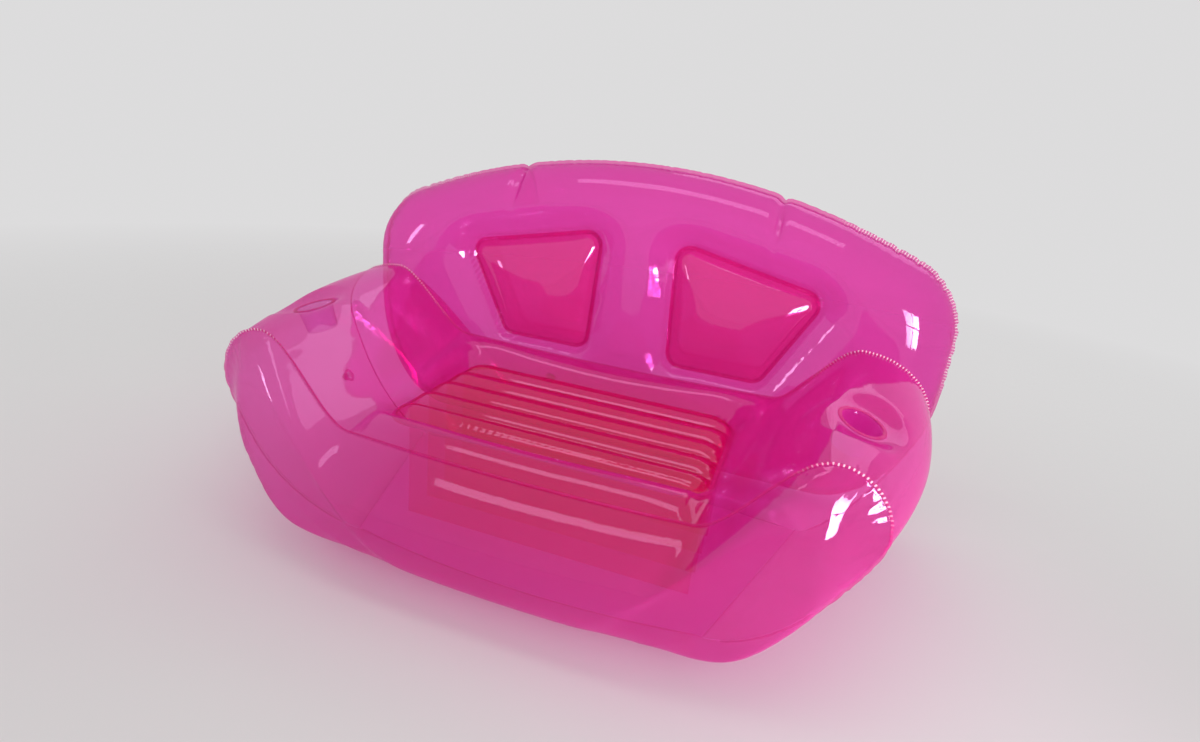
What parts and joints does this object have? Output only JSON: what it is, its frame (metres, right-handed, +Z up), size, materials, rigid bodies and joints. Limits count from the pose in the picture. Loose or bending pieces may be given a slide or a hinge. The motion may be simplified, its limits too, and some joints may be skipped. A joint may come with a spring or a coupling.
{
  "type": "inflatable sofa",
  "caption": "Inflatable two-seater sofa of clear tinted film: bulging seat chamber with ribbed seat pan, arms with cup wells, arched backrest with recessed pillows, push-in air valves.",
  "frame": {"origin": "On the floor plane, on the underside of the bottom panel, in the middle of the sofa's width", "axes": "+X towards the arm on the viewer's right when the sofa is seen from its front, +Y towards the backrest, +Z up"},
  "size_m": [1.508, 0.909, 0.766],
  "materials": {
    "outer_film": "glossy see-through magenta film",
    "deck_film": "glossy see-through pink film",
    "seat_film": "glossy see-through red-pink film",
    "cup_film": "glossy see-through violet-pink film",
    "seam": "welded double film, pale pink",
    "valve_vinyl": "soft clear pink vinyl",
    "valve_cap": "soft pink vinyl"
  },
  "bodies": {
    "sofa": {"seat_and_arm_wrap": "deck_film", "front_panel": "outer_film", "base_rear_panel": "outer_film", "bottom_panel": "outer_film", "seat_pan": "seat_film", "seat_baffle_1": "seat_film", "seat_baffle_2": "seat_film", "seat_baffle_3": "seat_film", "seat_baffle_4": "seat_film", "left_cup_well": "cup_film", "right_cup_well": "cup_film", "left_cup_rim": "seam", "right_cup_rim": "seam", "front_seam_weld": "seam", "rear_seam_weld": "seam", "back_front_film": "outer_film", "back_rear_film": "outer_film", "left_pillow": "seat_film", "right_pillow": "seat_film", "left_pillow_tie": "seat_film", "right_pillow_tie": "seat_film", "left_crest_tie": "outer_film", "right_crest_tie": "outer_film", "back_rim_weld": "seam", "base_valve_flange": "valve_vinyl", "back_valve_flange": "valve_vinyl"},
    "base_neck": {"base_valve_neck": "valve_vinyl"},
    "base_cap": {"base_valve_cap": "valve_cap"},
    "base_flap": {"base_valve_flap": "valve_vinyl"},
    "back_neck": {"back_valve_neck": "valve_vinyl"},
    "back_cap": {"back_valve_cap": "valve_cap"},
    "back_flap": {"back_valve_flap": "valve_vinyl"}
  },
  "joints": [
    {"name": "base_valve_push", "type": "slide", "parent": "sofa", "child": "base_neck", "axis": [0.849, 0.1087, 0.5172], "range_m": [0, 0.01]},
    {"name": "base_cap_hinge", "type": "hinge", "parent": "base_neck", "child": "base_cap", "pos_m": [-0.63298, 0.09345, 0.17035], "axis": [0.0928, -0.9941, 0.0565], "range_deg": [0, 165]},
    {"name": "base_flap_hinge", "type": "hinge", "parent": "base_neck", "child": "base_flap", "pos_m": [-0.61802, 0.09547, 0.18133], "axis": [-0.0928, 0.9941, -0.0565], "range_deg": [0, 60], "stiffness_Nm_per_rad": 0.0001, "springref_deg": -17.19},
    {"name": "back_valve_push", "type": "slide", "parent": "sofa", "child": "back_neck", "axis": [0, -1, 0], "range_m": [0, 0.01]},
    {"name": "back_cap_hinge", "type": "hinge", "parent": "back_neck", "child": "back_cap", "pos_m": [-0.2404, 0.5201, 0.13], "axis": [0, 0, -1], "range_deg": [0, 165]},
    {"name": "back_flap_hinge", "type": "hinge", "parent": "back_neck", "child": "back_flap", "pos_m": [-0.242, 0.5015, 0.13], "axis": [0, 0, 1], "range_deg": [0, 60], "stiffness_Nm_per_rad": 0.0001, "springref_deg": -17.19}
  ]
}
